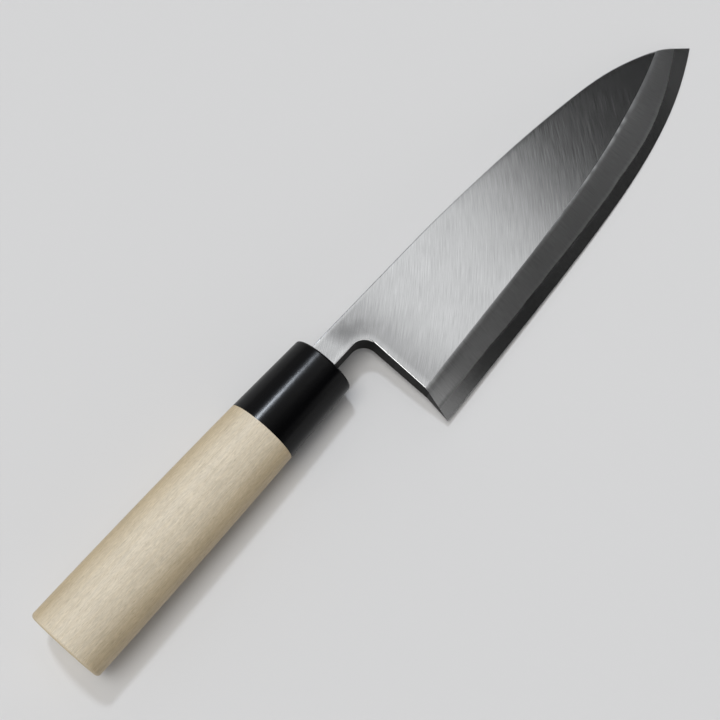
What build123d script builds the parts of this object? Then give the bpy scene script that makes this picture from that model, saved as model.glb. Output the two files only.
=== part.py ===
from build123d import *
import os
from math import asin, cos, radians, sin

os.makedirs("parts", exist_ok=True)

# All lengths are millimetres and all angles are degrees.
# The knife is drawn in its own plane: x runs from the ferrule's mouth to the point of the
# blade, y towards the spine, and z out of the ground side. The x axis is the handle's
# centre line. The finished knife lies ground side up, as on a table at z = 0.

# Blade, seen from above
blade_length = 178.5        # heel tip to point, along x
blade_height = 50.0         # spine to heel tip
spine_y = 6.2               # spine line, from the handle's centre line
heel_tip_x = 13.8           # heel tip, ahead of the ferrule's mouth
heel_top_x = 16.4           # heel face at the neck, ahead of the ferrule's mouth
neck_width = 9.9
neck_corner_radius = 5.5
neck_seat = 4.0             # full neck that goes into the ferrule
arris_round = 0.35          # eased arrises of the spine, neck and heel
spine_angle = -38.0         # fall of the spine at the point
edge_angle = 27.0           # rise of the cutting edge at the point
heel_edge_angle = 1.5       # rise of the cutting edge at the heel

# Outlines run from the heel to the point, as shares of the blade's length and height.
# The edge and the shinogi, where the bevel meets the flat, have their points in pairs.
spine_shares = [(0.22, 0.012), (0.40, 0.036), (0.55, 0.072), (0.70, 0.130), (0.82, 0.208),
                (0.90, 0.306), (0.955, 0.410), (1.0, 0.542)]
edge_shares = [(0.0, 1.0), (0.18, 0.981), (0.36, 0.957), (0.56, 0.915), (0.68, 0.871),
               (0.79, 0.803), (0.90, 0.693), (1.0, 0.542)]
shinogi_shares = [(0.0105, 0.752), (0.177, 0.722), (0.356, 0.689), (0.552, 0.633),
                  (0.666, 0.583), (0.771, 0.516), (0.872, 0.435), (0.965, 0.334)]
shinogi_end_share = (0.935, 0.372)  # where the shinogi meets the spine
heel_kink_share = (0.0095, 0.79)

# Blade, through its thickness. The ura is its back face, the side that lies down.
ura_drop = 4.8              # ura, below the handle's centre line
spine_thickness = 9.2       # at the heel
shinogi_thickness = 7.2     # at the heel
point_thickness = 2.4       # where the shinogi meets the spine
edge_land = 0.2             # thickness left along the cutting edge
steel_thickness_share = 0.36  # hard steel against both layers
steel_start = 9.0           # hard steel begins this far ahead of the ferrule's mouth
bevel_overrun_share = 0.15  # bevel's cutter past the edge and the shinogi

# Hollow of the ura: each row is a place along the blade, then the upper rim, the lower
# rim and the depth there, as shares
hollow_depth = 0.55
hollow_rim = 3.0
hollow_shares = [(0.035, 0.000, 0.990, 0.10), (0.10, 0.004, 0.988, 0.85),
                 (0.35, 0.030, 0.957, 1.00), (0.60, 0.087, 0.905, 0.65),
                 (0.80, 0.195, 0.795, 0.30), (0.91, 0.325, 0.680, 0.06)]

# Stick tang, driven into the handle
tang_length = 88.0
tang_tip_width = 5.0
tang_tip_thickness = 3.0
tang_root_share = 0.92      # tang against the neck, where the tang begins

# Handle: widths lie in the blade's plane, thicknesses across it
grip_length = 91.4
ferrule_length = 31.4
butt_width = 28.4
butt_thickness = 23.3
joint_width = 26.1
joint_thickness = 21.4
mouth_width = 23.9
mouth_thickness = 19.6
swell = 0.5                 # how much the grip swells between its ends
swell_share = 0.65          # where it swells most, from the ferrule to the butt
butt_round = 1.4
mouth_round = 0.8
bore_round = 0.4
ferrule_wall = 1.9
tenon_setback = 0.4         # end of the tenon, behind the ferrule's mouth

# Clearances and cutting
glue_gap = 0.05
tang_gap = 0.15
overrun = 5.0

# Lie of the knife: it rests on the handle, where the ferrule ends, and on the cutting edge
edge_down = 3.3             # roll about the handle's centre line, the edge side lower

handle_length = grip_length + ferrule_length
heel_tip_y = spine_y - blade_height
neck_low_y = spine_y - neck_width


def blade_point(share, height_share):
    """Place in the knife's plane of a point given in shares of the blade."""
    return Vector(heel_tip_x + share * blade_length, spine_y - height_share * blade_height)


def heading(angle):
    """Direction in the knife's plane at an angle from its length."""
    return (cos(radians(angle)), sin(radians(angle)))


spine_points = [blade_point(*shares) for shares in spine_shares]
edge_points = [blade_point(*shares) for shares in edge_shares]
shinogi_points = [blade_point(*shares) for shares in shinogi_shares]
shinogi_heel = shinogi_points[0]
shinogi_end = blade_point(*shinogi_end_share)
heel_kink = blade_point(*heel_kink_share)
heel_tip = edge_points[0]
point = edge_points[-1]
rest_point = edge_points[-2]

# The back end of the ferrule and the edge near the point touch the table, which sets how
# far the point dips below the handle.
turn = radians(edge_down)
joint_rise = joint_thickness / 2
edge_fall = joint_rise - ura_drop * cos(turn) + rest_point.Y * sin(turn)
dip = asin(edge_fall / (ferrule_length + rest_point.X))
mouth_rise = joint_rise - ferrule_length * sin(dip)
middle_x = (point.X - handle_length) / 2
middle_y = (butt_width / 2 + heel_tip_y) / 2
knife = Plane(
    origin=(-middle_x, -middle_y, mouth_rise),
    x_dir=(cos(dip), 0, -sin(dip)),
    z_dir=(sin(dip) * cos(turn), -sin(turn), cos(dip) * cos(turn)),
)
ura = knife.offset(-ura_drop)


def across(x):
    """Plane square to the knife's length, its first direction towards the spine."""
    place = knife.from_local_coords(Vector(x, 0, 0))
    return Plane(origin=place, x_dir=knife.y_dir, z_dir=knife.x_dir)


# The flat of the blade is one plane, which comes down to the edge and to the point.
fall_to_edge = (spine_thickness - shinogi_thickness) / (spine_y - shinogi_heel.Y)
end_over_spine = point_thickness + fall_to_edge * (spine_y - shinogi_end.Y)
fall_to_point = (spine_thickness - end_over_spine) / (shinogi_end.X - shinogi_heel.X)


def flat_height(x, y):
    """Height of the blade's flat above the ura."""
    along = fall_to_point * (x - shinogi_heel.X)
    return spine_thickness - along - fall_to_edge * (spine_y - y)


def layer_plane(share):
    """Plane through the blade at a share of its thickness, the flat itself at 1."""
    start = Vector(heel_tip_x, spine_y, share * flat_height(heel_tip_x, spine_y))
    normal = Vector(share * fall_to_point, -share * fall_to_edge, 1)
    origin = ura.from_local_coords(start)
    return Plane(origin=origin, z_dir=ura.from_local_coords(start + normal) - origin)


def run_on(points):
    """The same points with one more past each end, in line with the last two."""
    return [points[0] * 2 - points[1], *points, points[-1] * 2 - points[-2]]


def bevel_curve(share):
    """Line along the bevel's surface: 0 is the cutting edge and 1 the shinogi."""
    places = []
    for low, high in zip(run_on(edge_points), run_on(shinogi_points)):
        foot = Vector(low.X, low.Y, edge_land)
        top = Vector(high.X, high.Y, flat_height(high.X, high.Y))
        places.append(ura.from_local_coords(foot + (top - foot) * share))
    return places


# The bevel is ruled between the cutting edge and the shinogi, and runs past both.
bevel_foot = Spline(*bevel_curve(-bevel_overrun_share))
bevel_top = Spline(*bevel_curve(1 + bevel_overrun_share))
bevel_surface = Face.make_surface_from_curves(bevel_foot.edge(), bevel_top.edge())

# Both layers of the blade in one, before the hard steel is told from the iron
lengthways = Axis(origin=knife.origin, direction=knife.x_dir)
upwards = Axis(origin=knife.origin, direction=knife.z_dir)

with BuildPart() as blank:
    with BuildSketch(ura):
        with BuildLine():
            neck_top = Vector(-neck_seat, spine_y)
            neck_low = Vector(-neck_seat, neck_low_y)
            neck_corner = Vector(heel_top_x, neck_low_y)
            Line(neck_top, spine_points[0])
            Spline(*spine_points, tangents=[spine_points[0] - neck_top, heading(spine_angle)])
            Spline(*edge_points, tangents=[heading(heel_edge_angle), heading(edge_angle)])
            Line(heel_tip, heel_kink)
            FilletPolyline(heel_kink, neck_corner, neck_low, radius=neck_corner_radius)
            Line(neck_low, neck_top)
        make_face()
    extrude(amount=spine_thickness + overrun)
    split(bisect_by=layer_plane(1), keep=Keep.BOTTOM)
    extrude(bevel_surface, amount=spine_thickness + overrun, dir=ura.z_dir, mode=Mode.SUBTRACT)
    # Spine, neck and heel arrises are eased, but not the shinogi or the neck's hidden end.
    flat_edges = blank.faces().sort_by(upwards)[-1].edges()
    fillet(flat_edges.sort_by(SortBy.LENGTH)[:-1].sort_by(lengthways)[1:], radius=arris_round)

# Hollow of the ura, lofted through shallow arcs that lie across the blade
with BuildPart() as hollow:
    for share, high_share, low_share, depth_share in hollow_shares:
        high = blade_point(share, high_share) - Vector(0, hollow_rim)
        low = blade_point(share, low_share) + Vector(0, hollow_rim)
        crown = depth_share * hollow_depth - ura_drop
        below = -ura_drop - overrun
        with BuildSketch(across(high.X)):
            with BuildLine():
                ThreePointArc((low.Y, -ura_drop), ((low.Y + high.Y) / 2, crown), (high.Y, -ura_drop))
                Polyline((high.Y, -ura_drop), (high.Y, below), (low.Y, below), (low.Y, -ura_drop))
            make_face()
    loft()

# Hard steel: the lower layer of the blade, with the cutting edge and the hollow of the ura
with BuildPart() as edge_steel:
    add(blank.part)
    split(bisect_by=layer_plane(steel_thickness_share), keep=Keep.BOTTOM)
    split(bisect_by=across(steel_start), keep=Keep.TOP)
    steel_layer = edge_steel.part
    add(hollow.part, mode=Mode.SUBTRACT)
edge_steel.part.label = "edge_steel"
export_step(edge_steel.part, "parts/edge_steel.step")

# Cross sections of the neck and the tang, grown by a gap all round for their pocket
neck_middle_y = spine_y - neck_width / 2
root_width = tang_root_share * neck_width
root_thickness = tang_root_share * spine_thickness


def tang_sections(gap):
    """Cross sections of the tang at its root and at its tip."""
    with BuildSketch(across(-neck_seat)) as root:
        with Locations((neck_middle_y, spine_thickness / 2 - ura_drop)):
            Rectangle(root_width + 2 * gap, root_thickness + 2 * gap)
    with BuildSketch(across(-tang_length - gap)) as end:
        Rectangle(tang_tip_width + 2 * gap, tang_tip_thickness + 2 * gap)
    return [root.sketch, end.sketch]


# Soft iron: the rest of the blade, the neck and the tang
with BuildPart() as blade_body:
    add(blank.part)
    add(steel_layer, mode=Mode.SUBTRACT)
    loft(sections=tang_sections(0))
blade_body.part.label = "blade_body"
export_step(blade_body.part, "parts/blade_body.step")


def ring_sections(inset):
    """Ovals at the back and at the front of the ferrule, inset from its outside."""
    with BuildSketch(across(-ferrule_length)) as back:
        Ellipse(joint_width / 2 - inset, joint_thickness / 2 - inset)
    with BuildSketch(across(0)) as front:
        Ellipse(mouth_width / 2 - inset, mouth_thickness / 2 - inset)
    return [back.sketch, front.sketch]


# Ferrule: an oval ring with a tapered bore and a rounded mouth
with BuildPart() as ferrule:
    loft(sections=ring_sections(0))
    loft(sections=ring_sections(ferrule_wall), mode=Mode.SUBTRACT)
    fillet(ferrule.edges().group_by(lengthways)[-1].sort_by(SortBy.LENGTH)[-1], radius=mouth_round)
    fillet(ferrule.edges().group_by(lengthways)[-1].sort_by(SortBy.LENGTH)[0], radius=bore_round)
ferrule.part.label = "ferrule"
export_step(ferrule.part, "parts/ferrule.step")

# Grip: a swelling oval with a tenon for the ferrule and the burnt-in pocket of the tang
swell_x = -ferrule_length - swell_share * grip_length
swell_width = joint_width + swell_share * (butt_width - joint_width) + swell
swell_thickness = joint_thickness + swell_share * (butt_thickness - joint_thickness) + swell
neck_thickness = flat_height(-neck_seat, spine_y)

with BuildPart() as handle:
    with BuildSketch(across(-handle_length)):
        Ellipse(butt_width / 2, butt_thickness / 2)
    with BuildSketch(across(swell_x)):
        Ellipse(swell_width / 2, swell_thickness / 2)
    with BuildSketch(across(-ferrule_length)):
        Ellipse(joint_width / 2, joint_thickness / 2)
    loft()
    fillet(handle.edges().group_by(lengthways)[0], radius=butt_round)
    loft(sections=ring_sections(ferrule_wall + glue_gap))
    split(bisect_by=across(-tenon_setback), keep=Keep.BOTTOM)
    with BuildSketch(across(-neck_seat)):
        with Locations((neck_middle_y, neck_thickness / 2 - ura_drop)):
            Rectangle(neck_width + 2 * tang_gap, neck_thickness + 2 * tang_gap)
    extrude(amount=neck_seat + overrun, mode=Mode.SUBTRACT)
    loft(sections=tang_sections(tang_gap), mode=Mode.SUBTRACT)
handle.part.label = "handle"
export_step(handle.part, "parts/handle.step")
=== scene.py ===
import math

import bpy
from mathutils import Matrix, Vector

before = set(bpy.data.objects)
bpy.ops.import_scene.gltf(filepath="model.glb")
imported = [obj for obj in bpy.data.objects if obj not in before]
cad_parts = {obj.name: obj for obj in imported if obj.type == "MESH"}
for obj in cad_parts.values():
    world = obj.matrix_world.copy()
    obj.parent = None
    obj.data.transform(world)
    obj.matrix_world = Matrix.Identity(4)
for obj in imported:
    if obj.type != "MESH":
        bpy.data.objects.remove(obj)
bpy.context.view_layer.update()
print("frame loaded:", ", ".join(sorted(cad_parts)))

# The knife's own frame: x from the ferrule's mouth to the point, y to the spine, z out of the
# flat. The mouth's place is in metres of the scene, and all places on the knife are in mm.
knife = {"mouth": (-0.03475, 0.0148, 0.0100486), "dipDeg": 1.18866, "rollDeg": 3.3}
knifeTurn = (math.radians(knife["rollDeg"]), math.radians(knife["dipDeg"]), 0)
millimetre = 0.001

# Ramps that ease in and out. The numbers of a ramp are where it starts and where it ends, then
# the values there, or 0 and 1 where none are given.
eased = {"interpolation_type": "SMOOTHSTEP"}


def hexColour(text):
    # sRGB hex to the linear values that the shaders work in
    values = [int(text[i:i + 2], 16) / 255 for i in (0, 2, 4)]
    linear = [v / 12.92 if v <= 0.04045 else ((v + 0.055) / 1.055) ** 2.4 for v in values]
    return (*linear, 1.0)


def addNode(owner, kind, inputs=(), **settings):
    # one node with its settings; an input is a value, a socket, or a node whose first live
    # output is used; a Mix has its factor at 0, its numbers at 2 and 3, its colours at 6 and 7
    node = owner.node_tree.nodes.new("ShaderNode" + kind)
    for name, value in settings.items():
        setattr(node, name, value)
    for name, value in (inputs if isinstance(inputs, dict) else dict(enumerate(inputs))).items():
        if isinstance(value, bpy.types.Node):
            value = next(socket for socket in value.outputs if socket.enabled)
        if isinstance(value, bpy.types.NodeSocket):
            owner.node_tree.links.new(value, node.inputs[name])
        else:
            node.inputs[name].default_value = value
    return node


def newMaterial(name):
    material = bpy.data.materials.new(name)
    material.use_nodes = True
    material.node_tree.nodes.clear()
    return material


def finishMaterial(material, shader):
    addNode(material, "OutputMaterial", {"Surface": shader})
    return material


def knifePlace(material):
    # a point's place in the knife's frame, in millimetres
    where = addNode(material, "TexCoord").outputs["Object"]
    return addNode(material, "Mapping", {
        "Vector": where, "Location": knife["mouth"], "Rotation": knifeTurn,
        "Scale": (millimetre, millimetre, millimetre)}, vector_type="TEXTURE")


def knifeLook(material):
    # the way a face looks, in the knife's frame
    normal = addNode(material, "TexCoord").outputs["Normal"]
    return addNode(material, "Mapping", {
        "Vector": normal, "Rotation": knifeTurn}, vector_type="TEXTURE")


def grains(material, place, size, detail=2.0, seed=0.0):
    # noise whose grains have this size along x, y and z of the place, in millimetres
    stretched = addNode(material, "Mapping", {
        "Vector": place, "Location": (seed, seed, 0), "Scale": size}, vector_type="TEXTURE")
    return addNode(material, "TexNoise", {
        "Vector": stretched, "Scale": 1.0, "Detail": detail, "Roughness": 0.55})


blade = {
    # thickness: the flat lies over the back, and falls to the point and to the edge
    "backZ": -4.8, "heelTop": 9.2, "heelTopX": 15.67, "fallAlong": 0.0352, "fallAcross": 0.0532,
    # outlines: the edge rises with the first and fifth power of the share of the length, and the
    # spine falls with the second and tenth
    "heelX": 13.8, "length": 178.5, "edgeAtHeel": -43.85, "edgeRise": 5.9, "edgeCurve": 17.0,
    "spineY": 6.2, "spineBow": 12.3, "spineDrop": 14.9,
    # the faces, as ramps on how far they look to the spine or up out of the flat
    "bevelLeans": (-0.10, -0.19), "bevelFacesUp": (0.4, 0.6), "sideLevel": (0.75, 0.5),
    "spineLeans": (0.1, 0.4),
    # weld line, as a share of the thickness
    "seamShare": 0.405, "seamWave": 0.12, "seamSoft": 0.022, "seamPale": 5.0,
    "seamClimb": (150.0, 192.0, 0.0, 0.22),
    # scratches: the flat's are arcs round a wheel whose middle was beside the handle
    "wheelCentre": (-103.0, 198.0, 0.0), "wheelRadius": 270.0, "deepArcs": (0.60, 0.78),
    "deepShare": 0.28, "scratchDepth": 0.0018,
    # painted reflection: the brightness painted into the bevel's iron and hard steel, along the
    # blade
    "ironAtHeel": (14.0, 32.0, 1.85, 1.18), "ironAtMiddle": (28.0, 110.0, 0.0, -0.30),
    "ironAtPoint": (162.0, 180.0, 0.0, 0.25), "hardAtPoint": (156.0, 184.0, 1.0, 2.25),
    # painted shade: the root of the flat, painted darker
    "shadeReach": (16.0, 38.0, 0.30, 0.0), "shadeStart": (5.0, 11.0),
    "shadeMiddle": (12.5, 1.2, 0.0), "shadeTurnDeg": -31.0, "shadeHalf": (9.5, 4.2, 100.0),
    "shadeStray": 0.9, "shadeCore": (1.85, 0.35, 0.0, 0.26),
    # the notch between neck and heel, and the painted highlight round it and by the spine
    "notchCentre": (10.7, -9.2), "notchGlint": (8.5, 6.1, 0.0, 0.20),
    "spineGlint": (1.8, 0.5), "spineGlintAlong": (36.0, 14.0, 0.0, 0.28),
    # how strongly the scratches and the cloud shade the steel
    "lineShade": 0.68, "cloudShade": 0.16, "lineRough": 0.08,
    # the worn shinogi, whose matt line is also painted lighter as a highlight
    "wearPatch": (0.36, 0.60), "wearWidth": (0.26, 0.0), "wearStart": (70.0, 115.0, 0.05, 1.0),
    "wearEnd": (142.0, 166.0, 1.0, 0.3),
    # the heel's lower arris, painted light as a highlight, by height over the back
    "lowArrisGlint": (0.45, 0.15),
    # relief: how far the shinogi and the spine's arris are rounded over
    "shinogiSoft": (16.0, 70.0, 0.68, 0.19), "spineSoft": 0.8, "spineTurn": (18.0, 45.0, 0.0, 0.22),
    # colours: the heel's is painted dark as shade, the arris's and the wear's are painted light as
    # highlights
    "flatColour": "cecfd0", "ironColour": "9f9f9f", "hardColour": "acacac",
    "seamColour": "a9a9a9", "spineColour": "8d8c8e", "heelPaintedLight": "0e0e0f",
    "arrisGlintColour": "a3a2a1", "wearGlintColour": "b2b2b2",
    # the hard steel stays under 0.27 with its lines, past which its scratches render as specks
    "flatRough": 0.15, "ironRough": 0.37, "hardRough": (148.0, 178.0, 0.20, 0.232),
    "spineRough": 0.35, "heelRough": 0.60, "wearRough": 0.55,
}


def bladeSteel(name):
    # Soft iron forge-welded to high-carbon steel, ground flat and whetted by hand: the flat has
    # fine arcs from the grinding wheel, the iron of the bevel a matt haze, and the hard steel at
    # the edge is darker and clearer. Both layers of the blade use it, so that the weld line can
    # wander over both, as a real one does.
    material = newMaterial(name)
    place = knifePlace(material)
    x, y, z = addNode(material, "SeparateXYZ", [place]).outputs
    lookY, lookZ = addNode(material, "SeparateXYZ", [knifeLook(material)]).outputs[1:]

    # how far the point lies under the plane of the flat, and its share of the whole thickness
    atHeelTop = (blade["heelTop"] + blade["fallAlong"] * blade["heelTopX"]
                 - blade["fallAcross"] * blade["spineY"])
    along = addNode(material, "Math", [x, -blade["fallAlong"], atHeelTop],
                    operation="MULTIPLY_ADD")
    thick = addNode(material, "Math", [y, blade["fallAcross"], along], operation="MULTIPLY_ADD")
    height = addNode(material, "Math", [z, blade["backZ"]], operation="SUBTRACT")
    layer = addNode(material, "Math", [height, thick], operation="DIVIDE")
    under = addNode(material, "Math", [thick, height], operation="SUBTRACT")

    # place along and above the cutting edge, for what the whetstone leaves square to it
    fromHeel = addNode(material, "Math", [x, blade["heelX"]], operation="SUBTRACT")
    share = addNode(material, "Math", [fromHeel, blade["length"]], operation="DIVIDE",
                    use_clamp=True)
    fourth = addNode(material, "Math", [share, 4.0], operation="POWER")
    rise = addNode(material, "Math", [fourth, blade["edgeCurve"], blade["edgeRise"]],
                   operation="MULTIPLY_ADD")
    edgeY = addNode(material, "Math", [rise, share, blade["edgeAtHeel"]],
                    operation="MULTIPLY_ADD")
    slope = addNode(material, "Math", [
        fourth, 5 * blade["edgeCurve"] / blade["length"], blade["edgeRise"] / blade["length"]],
        operation="MULTIPLY_ADD")
    above = addNode(material, "Math", [y, edgeY], operation="SUBTRACT")
    run = addNode(material, "Math", [above, slope, x], operation="MULTIPLY_ADD")
    stonePlace = addNode(material, "CombineXYZ", [run, above, 0.0])

    # distance from the spine, whose line falls faster and faster to the point
    second = addNode(material, "Math", [share, 2.0], operation="POWER")
    tenth = addNode(material, "Math", [share, 10.0], operation="POWER")
    bowed = addNode(material, "Math", [second, -blade["spineBow"], blade["spineY"]],
                    operation="MULTIPLY_ADD")
    spineY = addNode(material, "Math", [tenth, -blade["spineDrop"], bowed],
                     operation="MULTIPLY_ADD")
    fromSpine = addNode(material, "Math", [spineY, y], operation="SUBTRACT")

    # the bevel leans to the edge and the sides stand level, the spine one way, the heel the other
    towardsEdge = addNode(material, "MapRange", [lookY, *blade["bevelLeans"]], **eased)
    upwards = addNode(material, "MapRange", [lookZ, *blade["bevelFacesUp"]], **eased)
    onBevel = addNode(material, "Math", [towardsEdge, upwards], operation="MULTIPLY")
    flatness = addNode(material, "Math", [lookZ], operation="ABSOLUTE")
    onSide = addNode(material, "MapRange", [flatness, *blade["sideLevel"]], **eased)
    onSpine = addNode(material, "MapRange", [lookY, *blade["spineLeans"]], **eased)

    # the weld line wanders, climbs towards the point, and has a pale border on the iron
    wave = grains(material, stonePlace, (22.0, 900.0, 900.0), detail=4.0, seed=4.0)
    seam = addNode(material, "Math", [
        wave, blade["seamWave"], blade["seamShare"] - blade["seamWave"] / 2],
        operation="MULTIPLY_ADD")
    climb = addNode(material, "MapRange", [x, *blade["seamClimb"]], **eased)
    seamHere = addNode(material, "Math", [seam, climb], operation="ADD")
    fromSeam = addNode(material, "Math", [layer, seamHere], operation="SUBTRACT")
    iron = addNode(material, "MapRange", [fromSeam, -blade["seamSoft"], blade["seamSoft"]],
                   **eased)
    seamLine = addNode(material, "MapRange", [
        fromSeam, blade["seamSoft"] * blade["seamPale"], blade["seamSoft"]], **eased)

    # wheel arcs on the flat: real ones are under 0.1 mm wide, drawn at 0.3 mm so that they show
    fromWheel = addNode(material, "VectorMath", [place, blade["wheelCentre"]],
                        operation="SUBTRACT")
    wheelX, wheelY = addNode(material, "SeparateXYZ", [fromWheel]).outputs[:2]
    wheelPlane = addNode(material, "CombineXYZ", [wheelX, wheelY, 0.0])
    radius = addNode(material, "VectorMath", [wheelPlane], operation="LENGTH")
    angle = addNode(material, "Math", [wheelY, wheelX], operation="ARCTAN2")
    arc = addNode(material, "Math", [angle, blade["wheelRadius"]], operation="MULTIPLY")
    wheelPlace = addNode(material, "CombineXYZ", [radius, arc, 0.0])
    fineArcs = grains(material, wheelPlace, (0.30, 9.0, 9.0), detail=3.0, seed=7.0)
    longArcs = grains(material, wheelPlace, (0.30, 26.0, 9.0), detail=1.0, seed=3.0)
    deepArcs = addNode(material, "MapRange", [longArcs, *blade["deepArcs"]], **eased)
    arcs = addNode(material, "Math", [deepArcs, blade["deepShare"], fineArcs],
                   operation="MULTIPLY_ADD")
    # whetstone lines on the bevel, square to the edge and as coarse, and a cloud over both
    stone = grains(material, stonePlace, (0.28, 6.0, 9.0), detail=3.0, seed=2.0)
    cloud = grains(material, place, (15.0, 11.0, 30.0), seed=9.0)
    lines = addNode(material, "Mix", {0: onBevel, 2: arcs, 3: stone}, data_type="FLOAT")

    # painted reflection: the iron is painted brightest at the heel, darker towards the middle, and
    # a little brighter at the point
    atHeel = addNode(material, "MapRange", [x, *blade["ironAtHeel"]], **eased)
    atMiddle = addNode(material, "MapRange", [x, *blade["ironAtMiddle"]], **eased)
    atPoint = addNode(material, "MapRange", [x, *blade["ironAtPoint"]], **eased)
    alongBevel = addNode(material, "Math", [atHeel, atMiddle], operation="ADD")
    ironPaintedLight = addNode(material, "Math", [alongBevel, atPoint], operation="ADD")
    ironHere = addNode(material, "VectorMath", {
        0: hexColour(blade["ironColour"])[:3], "Scale": ironPaintedLight}, operation="SCALE")
    bevelIron = addNode(material, "Mix", {
        0: seamLine, 6: ironHere, 7: hexColour(blade["seamColour"])}, data_type="RGBA")
    # and the hard steel is painted palest at the point, as painted reflection
    hardPaintedLight = addNode(material, "MapRange", [x, *blade["hardAtPoint"]], **eased)
    hardHere = addNode(material, "VectorMath", {
        0: hexColour(blade["hardColour"])[:3], "Scale": hardPaintedLight}, operation="SCALE")
    bevelColour = addNode(material, "Mix", {0: iron, 6: hardHere, 7: bevelIron},
                          data_type="RGBA")
    faceColour = addNode(material, "Mix", {
        0: onBevel, 6: hexColour(blade["flatColour"]), 7: bevelColour}, data_type="RGBA")

    # painted shade: the flat is painted darker towards the neck, most of all in a slanting patch
    # across its root
    shadeReach = addNode(material, "MapRange", [x, *blade["shadeReach"]], **eased)
    shadeStart = addNode(material, "MapRange", [x, *blade["shadeStart"]], **eased)
    shadeEven = addNode(material, "Math", [shadeReach, shadeStart], operation="MULTIPLY")
    shadePlace = addNode(material, "Mapping", {
        "Vector": place, "Location": blade["shadeMiddle"],
        "Rotation": (0, 0, math.radians(blade["shadeTurnDeg"])), "Scale": blade["shadeHalf"]},
        vector_type="TEXTURE")
    fromShadePatch = addNode(material, "VectorMath", [shadePlace], operation="LENGTH")
    stray = grains(material, place, (4.0, 4.0, 90.0), seed=5.0)
    shadeEdge = addNode(material, "Math", [stray, blade["shadeStray"], fromShadePatch],
                       operation="MULTIPLY_ADD")
    shadeCore = addNode(material, "MapRange", [shadeEdge, *blade["shadeCore"]], **eased)
    paintedShade = addNode(material, "Math", [shadeEven, shadeCore], operation="ADD")
    # painted highlight: it is painted brighter round the notch, and along the spine by the neck
    notchX = addNode(material, "Math", [x, blade["notchCentre"][0]], operation="SUBTRACT")
    notchY = addNode(material, "Math", [y, blade["notchCentre"][1]], operation="SUBTRACT")
    notchPlace = addNode(material, "CombineXYZ", [notchX, notchY, 0.0])
    notchOut = addNode(material, "VectorMath", [notchPlace, (0, 0, 0)], operation="MAXIMUM")
    notchFar = addNode(material, "VectorMath", [notchOut], operation="LENGTH")
    notchSide = addNode(material, "Math", [notchX, notchY], operation="MAXIMUM")
    notchIn = addNode(material, "Math", [notchSide, 0.0], operation="MINIMUM")
    fromNotch = addNode(material, "Math", [notchFar, notchIn], operation="ADD")
    notchGlint = addNode(material, "MapRange", [fromNotch, *blade["notchGlint"]], **eased)
    spineEdge = addNode(material, "MapRange", [fromSpine, *blade["spineGlint"]], **eased)
    byNeck = addNode(material, "MapRange", [x, *blade["spineGlintAlong"]], **eased)
    paintedGlint = addNode(material, "Math", [spineEdge, byNeck, notchGlint], operation="MULTIPLY_ADD")
    unshaded = addNode(material, "Math", [1.0, paintedShade], operation="SUBTRACT")
    flatShade = addNode(material, "Math", [unshaded, paintedGlint], operation="ADD")
    patchShade = addNode(material, "Mix", {0: onBevel, 2: flatShade, 3: 1.0},
                         data_type="FLOAT")
    shaded = addNode(material, "VectorMath", {0: faceColour, "Scale": patchShade},
                     operation="SCALE")
    for pattern, depth in ((lines, blade["lineShade"]), (cloud, blade["cloudShade"])):
        shade = addNode(material, "Math", [pattern, depth, 1 - depth / 2],
                        operation="MULTIPLY_ADD")
        shaded = addNode(material, "VectorMath", {0: shaded, "Scale": shade},
                         operation="SCALE")

    # the shinogi is worn in patches to a thin matt line, mostly past the middle of the blade, and
    # the line is painted lighter as a highlight
    wearGrain = grains(material, stonePlace, (5.0, 900.0, 900.0), detail=4.0, seed=6.0)
    wearAndGlint = onBevel
    for measure, ramp in ((wearGrain, "wearPatch"), (under, "wearWidth"), (x, "wearStart"),
                          (x, "wearEnd")):
        part = addNode(material, "MapRange", [measure, *blade[ramp]], **eased)
        wearAndGlint = addNode(material, "Math", [wearAndGlint, part], operation="MULTIPLY")
    facesColour = addNode(material, "Mix", {
        0: wearAndGlint, 6: shaded, 7: hexColour(blade["wearGlintColour"])}, data_type="RGBA")

    # the sides: a filed spine, a heel face painted dark as shade, and a painted highlight on its
    # lower arris
    lowArrisGlint = addNode(material, "MapRange", [height, *blade["lowArrisGlint"]], **eased)
    heelPaintedLight = addNode(material, "Mix", {
        0: lowArrisGlint, 6: hexColour(blade["heelPaintedLight"]), 7: hexColour(blade["arrisGlintColour"])},
        data_type="RGBA")
    sideColour = addNode(material, "Mix", {
        0: onSpine, 6: heelPaintedLight, 7: hexColour(blade["spineColour"])}, data_type="RGBA")
    colour = addNode(material, "Mix", {0: onSide, 6: facesColour, 7: sideColour},
                     data_type="RGBA")

    hardRough = addNode(material, "MapRange", [x, *blade["hardRough"]])
    bevelRough = addNode(material, "Mix", {0: iron, 2: hardRough, 3: blade["ironRough"]},
                         data_type="FLOAT")
    faceRough = addNode(material, "Mix", {0: onBevel, 2: blade["flatRough"], 3: bevelRough},
                        data_type="FLOAT")
    sideRough = addNode(material, "Mix", {
        0: onSpine, 2: blade["heelRough"], 3: blade["spineRough"]}, data_type="FLOAT")
    allRough = addNode(material, "Mix", {0: onSide, 2: faceRough, 3: sideRough},
                       data_type="FLOAT")
    roughLines = addNode(material, "Math", [lines, blade["lineRough"], -blade["lineRough"] / 2],
                         operation="MULTIPLY_ADD")
    linedRough = addNode(material, "Math", [allRough, roughLines], operation="ADD")
    rough = addNode(material, "Mix", {0: wearAndGlint, 2: linedRough, 3: blade["wearRough"]},
                    data_type="FLOAT")

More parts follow.
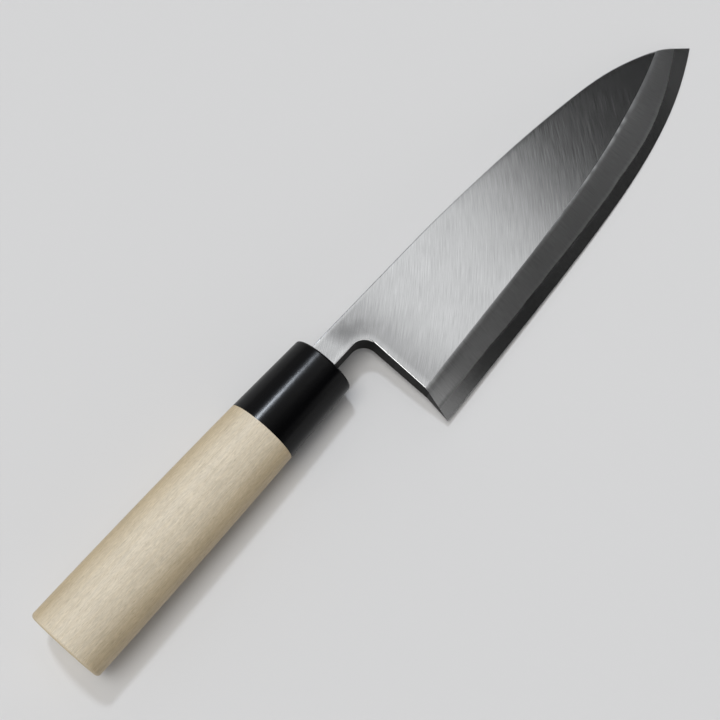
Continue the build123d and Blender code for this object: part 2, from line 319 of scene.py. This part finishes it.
    # relief in millimetres: whetting has rounded the shinogi over and the spine's arris is soft,
    # both sinking by a depth that dies away from the corner, and the lines stand on that
    soft = addNode(material, "MapRange", [x, *blade["shinogiSoft"]])
    depths = addNode(material, "Math", [under, soft], operation="DIVIDE")
    decay = addNode(material, "Math", [depths, -1.0], operation="MULTIPLY")
    roundOver = addNode(material, "Math", [decay], operation="EXPONENT")
    rounded = addNode(material, "Math", [roundOver, onBevel], operation="MULTIPLY")
    shinogiSunk = addNode(material, "Math", [rounded, soft], operation="MULTIPLY")
    spineDecay = addNode(material, "Math", [fromSpine, -1 / blade["spineSoft"]],
                         operation="MULTIPLY")
    spineRound = addNode(material, "Math", [spineDecay], operation="EXPONENT")
    spineTurn = addNode(material, "MapRange", [x, *blade["spineTurn"]], **eased)
    spineDepth = addNode(material, "Math", [spineTurn, blade["spineSoft"]],
                         operation="MULTIPLY")
    sunk = addNode(material, "Math", [spineRound, spineDepth, shinogiSunk],
                   operation="MULTIPLY_ADD")
    scratched = addNode(material, "Math", [lines, blade["scratchDepth"]], operation="MULTIPLY")
    surface = addNode(material, "Math", [scratched, sunk], operation="SUBTRACT")
    relief = addNode(material, "Bump", {
        "Strength": 1.0, "Distance": millimetre, "Height": surface})
    shader = addNode(material, "BsdfPrincipled", {
        "Base Color": colour, "Metallic": 1.0, "Roughness": rough, "Normal": relief})
    return finishMaterial(material, shader)


ferrule = {
    "colour": "040405", "rough": 0.25, "hazeRough": 0.05, "rubRough": 0.08,
    "rubDepth": 0.006, "ior": 1.5, "specular": 0.04, "coat": 0.38, "coatRough": 0.19,
}


def blackFerrule(name):
    # Black resin turned to an oval and buffed: deep gloss with a few hairline rubs along it,
    # which are drawn 0.35 mm wide so that they show
    material = newMaterial(name)
    place = knifePlace(material)
    rubs = grains(material, place, (8.0, 0.35, 0.35), detail=3.0)
    haze = grains(material, place, (9.0, 7.0, 7.0), seed=5.0)
    hazeRough = addNode(material, "Math", [haze, ferrule["hazeRough"], ferrule["rough"]],
                        operation="MULTIPLY_ADD")
    rough = addNode(material, "Math", [rubs, ferrule["rubRough"], hazeRough],
                    operation="MULTIPLY_ADD")
    relief = addNode(material, "Bump", {
        "Strength": 1.0, "Distance": ferrule["rubDepth"] * millimetre, "Height": rubs})
    shader = addNode(material, "BsdfPrincipled", {
        "Base Color": hexColour(ferrule["colour"]), "Roughness": rough, "IOR": ferrule["ior"],
        "Specular IOR Level": ferrule["specular"], "Coat Weight": ferrule["coat"],
        "Coat Roughness": ferrule["coatRough"], "Normal": relief, "Coat Normal": relief})
    return finishMaterial(material, shader)


wood = {
    "early": "cdc1ac", "late": "bcaa8b", "pore": "8d7a5a", "endGrain": "b4a27d",
    "char": "1d140d",
    # growth rings, in millimetres
    "ringGap": 2.4, "heart": (0.0, -70.0, -40.0), "alongShare": 0.012, "ringBend": 5.0,
    "lateRing": (-0.3, 1.0, 0.0, 0.14), "poreLevel": (0.58, 0.74, 0.0, 0.30),
    "endFaces": (0.5, 0.85, 0.0, 0.7),
    # how strongly each pattern shades the wood, and the painted shade on its two sides
    "fibreShade": 0.34, "mottleShade": 0.16, "speckShade": 0.64,
    "sideShadeTint": (0.76, 0.695, 0.565), "shadedSides": (0.30, 0.88),
    # the tang's slot, which opens at the front of the tenon
    "slotMiddle": (0.0, 1.25, -0.2), "slotHalfY": 5.1, "slotHalfZ": 4.75,
    "slotFront": (-10.0, -9.0), "charRagged": 1.6, "charWidth": (2.6, 1.0),
    "rough": 0.45, "fibreRough": 0.12, "fibreDepth": 0.06, "ior": 1.45, "specular": 0.60,
}


def magnoliaWood(name):
    # Magnolia, planed along the grain and left bare: pale and even, with faint straight rings,
    # pores as short fine dashes, and a dull satin face. Real fibres and pores are about 0.1 mm
    # wide, drawn at 0.2 to 0.4 mm so that they show.
    material = newMaterial(name)
    place = knifePlace(material)
    x = addNode(material, "SeparateXYZ", [place]).outputs[0]
    lookX, lookY = addNode(material, "SeparateXYZ", [knifeLook(material)]).outputs[:2]

    # growth rings about a heart far off to one side, nearly in line with the grip
    bend = grains(material, place, (90.0, 14.0, 14.0))
    fromHeart = addNode(material, "VectorMath", [place, wood["heart"]], operation="SUBTRACT")
    inRings = addNode(material, "VectorMath", [fromHeart, (wood["alongShare"], 1, 1)],
                      operation="MULTIPLY")
    reach = addNode(material, "VectorMath", [inRings], operation="LENGTH")
    bent = addNode(material, "Math", [bend, wood["ringBend"], reach], operation="MULTIPLY_ADD")
    ringTurn = addNode(material, "Math", [bent, 2 * math.pi / wood["ringGap"]],
                       operation="MULTIPLY")
    ringWave = addNode(material, "Math", [ringTurn], operation="SINE")
    ring = addNode(material, "MapRange", [ringWave, *wood["lateRing"]], **eased)

    fibre = grains(material, place, (9.0, 0.40, 0.40), detail=3.0, seed=3.0)
    fleck = grains(material, place, (1.4, 0.22, 0.22), detail=1.0, seed=8.0)
    speck = grains(material, place, (2.2, 0.26, 0.26), detail=3.0, seed=12.0)
    mottle = grains(material, place, (7.0, 13.0, 13.0), seed=6.0)
    pore = addNode(material, "MapRange", [fleck, *wood["poreLevel"]], **eased)

    sideTone = addNode(material, "Mix", {
        0: ring, 6: hexColour(wood["early"]), 7: hexColour(wood["late"])}, data_type="RGBA")
    poreTone = addNode(material, "Mix", {0: pore, 6: sideTone, 7: hexColour(wood["pore"])},
                       data_type="RGBA")
    endwise = addNode(material, "Math", [lookX], operation="ABSOLUTE")
    endGrain = addNode(material, "MapRange", [endwise, *wood["endFaces"]], **eased)
    shaded = addNode(material, "Mix", {
        0: endGrain, 6: poreTone, 7: hexColour(wood["endGrain"])}, data_type="RGBA")
    for pattern, depth in ((fibre, wood["fibreShade"]), (mottle, wood["mottleShade"]),
                           (speck, wood["speckShade"])):
        shade = addNode(material, "Math", [pattern, depth, 1 - depth / 2],
                        operation="MULTIPLY_ADD")
        shaded = addNode(material, "VectorMath", {0: shaded, "Scale": shade},
                         operation="SCALE")

    # painted shade: the two sides are painted darker and tanner
    sideways = addNode(material, "Math", [lookY], operation="ABSOLUTE")
    sideShadeMask = addNode(material, "MapRange", [sideways, *wood["shadedSides"]], **eased)
    sideShadeTone = addNode(material, "VectorMath", [shaded, wood["sideShadeTint"]],
                          operation="MULTIPLY")
    sideShaded = addNode(material, "Mix", {0: sideShadeMask, 6: shaded, 7: sideShadeTone},
                   data_type="RGBA")

    # the tang is burnt in, so the wood is charred round its slot
    fromSlot = addNode(material, "VectorMath", [place, wood["slotMiddle"]],
                       operation="SUBTRACT")
    slotSides = addNode(material, "VectorMath", [fromSlot], operation="ABSOLUTE")
    slotY, slotZ = addNode(material, "SeparateXYZ", [slotSides]).outputs[1:]
    outY = addNode(material, "Math", [slotY, wood["slotHalfY"]], operation="SUBTRACT")
    outZ = addNode(material, "Math", [slotZ, wood["slotHalfZ"]], operation="SUBTRACT")
    outside = addNode(material, "Math", [outY, outZ], operation="MAXIMUM")
    ragged = addNode(material, "Math", [mottle, wood["charRagged"], outside],
                     operation="MULTIPLY_ADD")
    nearSlot = addNode(material, "MapRange", [ragged, *wood["charWidth"]], **eased)
    inFront = addNode(material, "MapRange", [x, *wood["slotFront"]], **eased)
    char = addNode(material, "Math", [nearSlot, inFront], operation="MULTIPLY")
    colour = addNode(material, "Mix", {0: char, 6: sideShaded, 7: hexColour(wood["char"])},
                     data_type="RGBA")

    rough = addNode(material, "Math", [
        fibre, wood["fibreRough"], wood["rough"] - wood["fibreRough"] / 2],
        operation="MULTIPLY_ADD")
    surface = addNode(material, "Math", [fibre, pore], operation="SUBTRACT")
    relief = addNode(material, "Bump", {
        "Strength": 1.0, "Distance": wood["fibreDepth"] * millimetre, "Height": surface})
    shader = addNode(material, "BsdfPrincipled", {
        "Base Color": colour, "Roughness": rough, "IOR": wood["ior"],
        "Specular IOR Level": wood["specular"], "Normal": relief})
    return finishMaterial(material, shader)


finishes = {
    "blade_body": bladeSteel("groundIron"), "edge_steel": bladeSteel("whettedHardSteel"),
    "ferrule": blackFerrule("buffedBlackResin"), "handle": magnoliaWood("planedMagnolia"),
}
for node, material in finishes.items():
    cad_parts[node].data.materials.clear()
    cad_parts[node].data.materials.append(material)
print("materials made:", len(finishes))

view = {
    "place": (-0.135572, -0.082017, 0.391288), "aim": (-0.02269, 0.00878, 0.0),
    "rollDeg": 1.344, "lensMm": 60.0, "sensorMm": 36.0, "nearest": 0.01,
}


def makeCamera():
    data = bpy.data.cameras.new("viewCamera")
    data.sensor_width = view["sensorMm"]
    data.lens = view["lensMm"]
    data.clip_start = view["nearest"]
    camera = bpy.data.objects.new("viewCamera", data)
    bpy.context.scene.collection.objects.link(camera)
    place = Vector(view["place"])
    look = (Vector(view["aim"]) - place).to_track_quat("-Z", "Y")
    turn = Matrix.Rotation(math.radians(view["rollDeg"]), 4, "Z")
    camera.matrix_world = Matrix.Translation(place) @ look.to_matrix().to_4x4() @ turn
    bpy.context.scene.camera = camera


makeCamera()
print("camera set")

studio = {
    "floor": "d4d3d3", "floorSize": 20.0, "floorRough": 0.9,
    # the lamps: where each shines from, how wide it looks from the knife, and how strong it is;
    # the top strip is what the ferrule mirrors as its streak
    "lamps": {
        "softKey": {"from": (-0.15, 0.19, 0.97), "wideDeg": 34.0, "strength": 1.08,
                    "tint": "fffefa"},
        "topStrip": {"from": (0.255, 0.405, 0.88), "wideDeg": 6.0, "strength": 0.85,
                     "tint": "e9f1fb"},
        "sideStrip": {"from": (-0.62, 0.12, 0.77), "wideDeg": 52.0, "strength": 0.40,
                      "tint": "ffffff"},
    },
    # the fields of the room, as brightness by direction: each is the product of its ramps along
    # x, y or z, or along the distance to either side of the knife
    "fields": {
        "dim": [("x", -0.04, 0.10, 0.16, 0.02)],  # a dim room, and a dark flag past the knife
        "panel": [("x", -0.42, -0.30), ("x", 0.20, 0.09, 0.0, 0.95), ("aside", 0.46, 0.30)],
        "farCorner": [("x", 0.33, 0.45, 0.0, 0.50), ("y", 0.02, 0.30), ("z", 0.72, 0.58)],
        "sideCard": [("x", -0.30, -0.45, 0.0, 0.40)],
        "farWall": [("y", 0.50, 0.78, 0.0, 0.28)],
        "lowFill": [("y", -0.735, -0.825), ("x", 0.30, 0.345)],
        "skirt": [("y", -0.62, -0.32, 0.0, 0.62), ("y", 0.30, 0.0), ("x", 0.32, 0.38),
                  ("x", 0.49, 0.39)],
        "onCard": [("x", 0.305, 0.35), ("x", 0.583, 0.505), ("y", -0.27, -0.20),
                   ("y", 0.38, 0.30)],
        "horizon": [("x", 0.10, -0.10, 0.02, 0.60)],
        "lowDown": [("z", 0.48, 0.26)],
        "nearFloor": [("z", 0.32, 0.20)],
    },
    "card": 0.95, "backdrop": 0.62,
}


def makeLamps():
    for name, lamp in studio["lamps"].items():
        data = bpy.data.lights.new(name, "SUN")
        data.angle = math.radians(lamp["wideDeg"])
        data.energy = lamp["strength"]
        data.color = hexColour(lamp["tint"])[:3]
        sun = bpy.data.objects.new(name, data)
        sun.matrix_world = Vector(lamp["from"]).to_track_quat("Z", "Y").to_matrix().to_4x4()
        bpy.context.scene.collection.objects.link(sun)


def makeRoom():
    # A dim room with a dark flag past the knife. A panel under the ceiling, a far corner, a card
    # behind the handle and a far wall show where they are the brighter. A low fill and a skirt
    # add to them, and the bright card covers them. Lower down, the horizon is bright behind the
    # handle, and near the floor a pale backdrop goes all round.
    world = bpy.data.worlds.new("studio")
    bpy.context.scene.world = world
    world.use_nodes = True
    world.node_tree.nodes.clear()
    where = addNode(world, "TexCoord").outputs["Generated"]
    axes = dict(zip("xyz", addNode(world, "SeparateXYZ", [where]).outputs))
    axes["aside"] = addNode(world, "Math", [axes["y"]], operation="ABSOLUTE")

    fields = {}
    for name, ramps in studio["fields"].items():
        for axis, *ramp in ramps:
            part = addNode(world, "MapRange", [axes[axis], *ramp], **eased)
            if name in fields:
                part = addNode(world, "Math", [fields[name], part], operation="MULTIPLY")
            fields[name] = part

    brightest = fields["dim"]
    for name in ("panel", "farCorner", "sideCard", "farWall"):
        brightest = addNode(world, "Math", [brightest, fields[name]], operation="MAXIMUM")
    filled = addNode(world, "Math", [brightest, fields["lowFill"]], operation="ADD")
    skirted = addNode(world, "Math", [filled, fields["skirt"]], operation="ADD")
    upper = addNode(world, "Mix", {0: fields["onCard"], 2: skirted, 3: studio["card"]},
                    data_type="FLOAT")
    horizon = addNode(world, "Math", [fields["horizon"], filled], operation="MAXIMUM")
    glow = addNode(world, "Mix", {0: fields["lowDown"], 2: upper, 3: horizon},
                   data_type="FLOAT")
    allRound = addNode(world, "Mix", {0: fields["nearFloor"], 2: glow, 3: studio["backdrop"]},
                       data_type="FLOAT")
    background = addNode(world, "Background", {"Color": (1, 1, 1, 1), "Strength": allRound})
    addNode(world, "OutputWorld", {"Surface": background})


def makeFloor():
    bpy.ops.object.select_all(action="DESELECT")
    bpy.ops.mesh.primitive_plane_add(size=studio["floorSize"], location=(0, 0, 0))
    floor = bpy.context.object
    floor.name = "floor"
    paper = newMaterial("mattePaper")  # matt paper: even and pale, with no shine
    shader = addNode(paper, "BsdfPrincipled", {
        "Base Color": hexColour(studio["floor"]), "Roughness": studio["floorRough"]})
    floor.data.materials.append(finishMaterial(paper, shader))


makeLamps()
makeRoom()
makeFloor()
bpy.context.scene.view_settings.view_transform = "Standard"
print("studio made")
